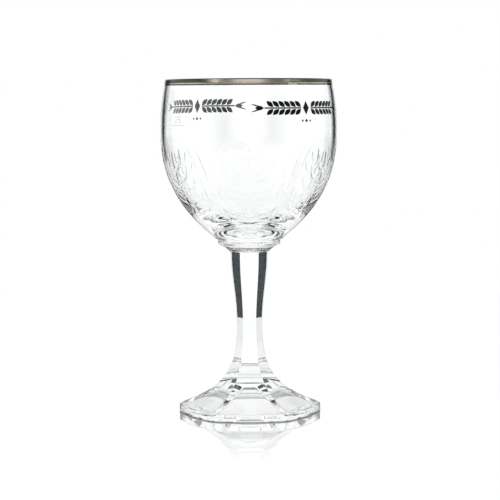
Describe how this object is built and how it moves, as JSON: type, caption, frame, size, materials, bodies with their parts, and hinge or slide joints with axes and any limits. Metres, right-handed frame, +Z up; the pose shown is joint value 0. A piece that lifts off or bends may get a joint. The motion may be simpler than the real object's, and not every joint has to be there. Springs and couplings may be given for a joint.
{
  "type": "chalice beer glass",
  "caption": "Stemmed beer glass with a round bowl, gilt lip, dark printed barley ears, fill mark, six-sided stem and six-sided foot.",
  "frame": {"origin": "middle of the foot, on the surface that the glass stands on", "axes": "+Z up along the glass's axis; a flat side of the stem and foot faces -Y; two corners of the foot lie on the X axis"},
  "size_m": [0.0932, 0.0932, 0.176],
  "materials": {
    "clear_glass": "polished",
    "gilt": "lustre",
    "dark_enamel": "satin",
    "pale_enamel": "matte"
  },
  "bodies": {
    "root": {"foot": "clear_glass", "stem": "clear_glass", "collar": "clear_glass", "bowl": "clear_glass", "gilt_lip": "gilt", "front_print": "dark_enamel", "back_print": "dark_enamel", "fill_line": "pale_enamel", "fill_figures": "pale_enamel"}
  },
  "joints": []
}
